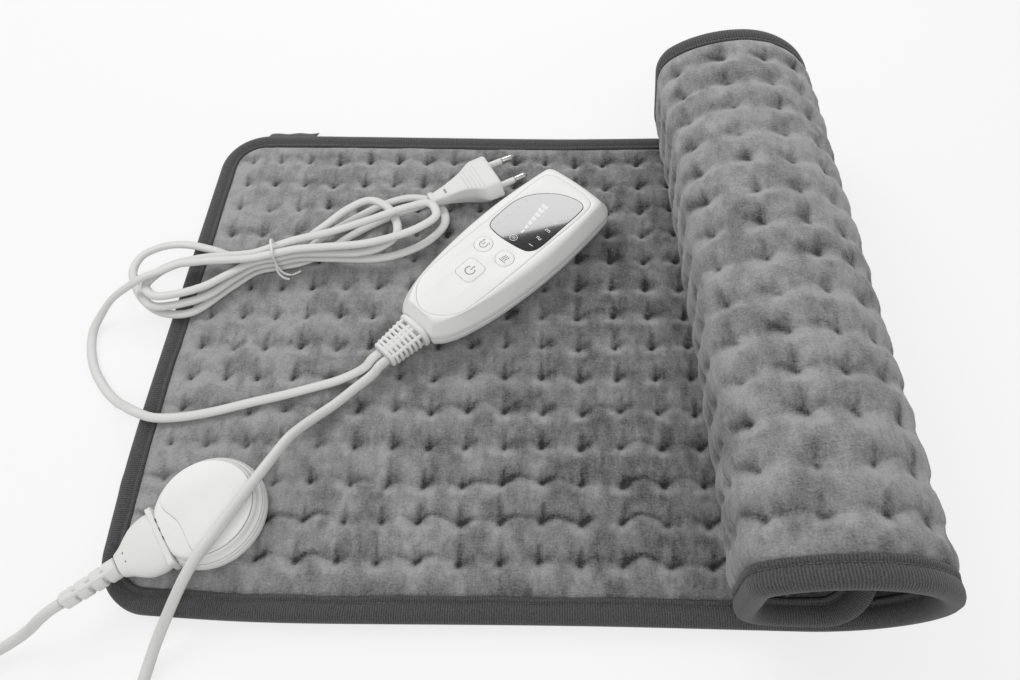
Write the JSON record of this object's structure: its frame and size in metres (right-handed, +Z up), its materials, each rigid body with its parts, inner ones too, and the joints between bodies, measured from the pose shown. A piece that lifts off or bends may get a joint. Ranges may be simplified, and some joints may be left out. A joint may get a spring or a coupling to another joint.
{
  "type": "heating pad",
  "caption": "Quilted plush heating pad, part rolled, with a detachable corner lead, a handheld controller with display and a hanked mains cord.",
  "frame": {"origin": "middle of the pad's underside, at the table, measured without the cords and what is on them", "axes": "+X along the pad towards its rolled end, +Y towards the edge with the fabric tab, +Z up from the table"},
  "size_m": [0.422, 0.4119, 0.0924],
  "materials": {
    "plush": "short soft grey pile with nap marks",
    "binding": "dark grey ribbed knit tape",
    "tab": "dark grey woven tape, blank",
    "inner_felt": "non-woven felt",
    "heating_wire": "silicone sheath",
    "white_plastic": "semi-gloss moulded",
    "panel": "satin film with grey printed symbols",
    "soft_white": "soft moulded, satin",
    "plug_plastic": "semi-gloss moulded",
    "cord": "smooth PVC sheath, satin",
    "wire_tie": "thin plastic-covered wire",
    "display_black": "high-gloss black window with white print",
    "dark_plastic": "moulded",
    "circuit_board": "solder mask",
    "nickel": "nickel plated",
    "brass": "plain"
  },
  "bodies": {
    "pad": {"top_cover": "plush", "bottom_cover": "plush", "edge_binding": "binding", "heating_layer": "inner_felt", "heating_wire": "heating_wire", "fabric_tab": "tab", "socket_base": "white_plastic", "socket_cover": "white_plastic", "socket_board": "circuit_board", "thermostat": "dark_plastic", "thermal_fuse": "nickel", "socket_contact_1": "brass", "socket_contact_2": "brass", "socket_contact_3": "brass", "handset_lower_shell": "white_plastic", "handset_upper_shell": "white_plastic", "face_panel": "panel", "display_window": "display_black", "circuit_board": "circuit_board", "display_module": "dark_plastic", "power_switch": "dark_plastic", "timer_switch": "dark_plastic", "heat_switch": "dark_plastic", "relay": "dark_plastic", "capacitor": "dark_plastic", "glass_fuse": "nickel", "screw_1": "nickel", "screw_2": "nickel", "screw_3": "nickel", "screw_4": "nickel", "cord_clamp": "dark_plastic", "cord_boot": "soft_white", "mains_cord": "cord", "mains_hank": "cord", "hank_tie": "wire_tie", "plug_body": "plug_plastic", "plug_pin_left": "nickel", "plug_sleeve_left": "soft_white", "plug_pin_right": "nickel", "plug_sleeve_right": "soft_white", "controller_lead": "cord", "lead_coil": "cord", "connector_lead": "cord"},
    "connector": {"connector_body": "soft_white", "connector_contact_1": "brass", "connector_contact_2": "brass", "connector_contact_3": "brass", "connector_relief": "soft_white"},
    "power_key": {"power_button": "panel"},
    "timer_key": {"timer_button": "panel"},
    "heat_key": {"heat_button": "panel"}
  },
  "joints": [
    {"name": "power_press", "type": "slide", "parent": "pad", "child": "power_key", "axis": [0, 0, -1], "range_m": [0, 0.0007], "stiffness_N_per_m": 1200, "springref_m": -0.0004},
    {"name": "timer_press", "type": "slide", "parent": "pad", "child": "timer_key", "axis": [0, 0, -1], "range_m": [0, 0.0007], "stiffness_N_per_m": 1200, "springref_m": -0.0004},
    {"name": "heat_press", "type": "slide", "parent": "pad", "child": "heat_key", "axis": [0, 0, -1], "range_m": [0, 0.0007], "stiffness_N_per_m": 1200, "springref_m": -0.0004},
    {"name": "connector_unplug", "type": "slide", "parent": "pad", "child": "connector", "axis": [-0.7934, -0.6088, 0], "range_m": [0, 0.014], "deforming": ["connector_lead"]}
  ]
}
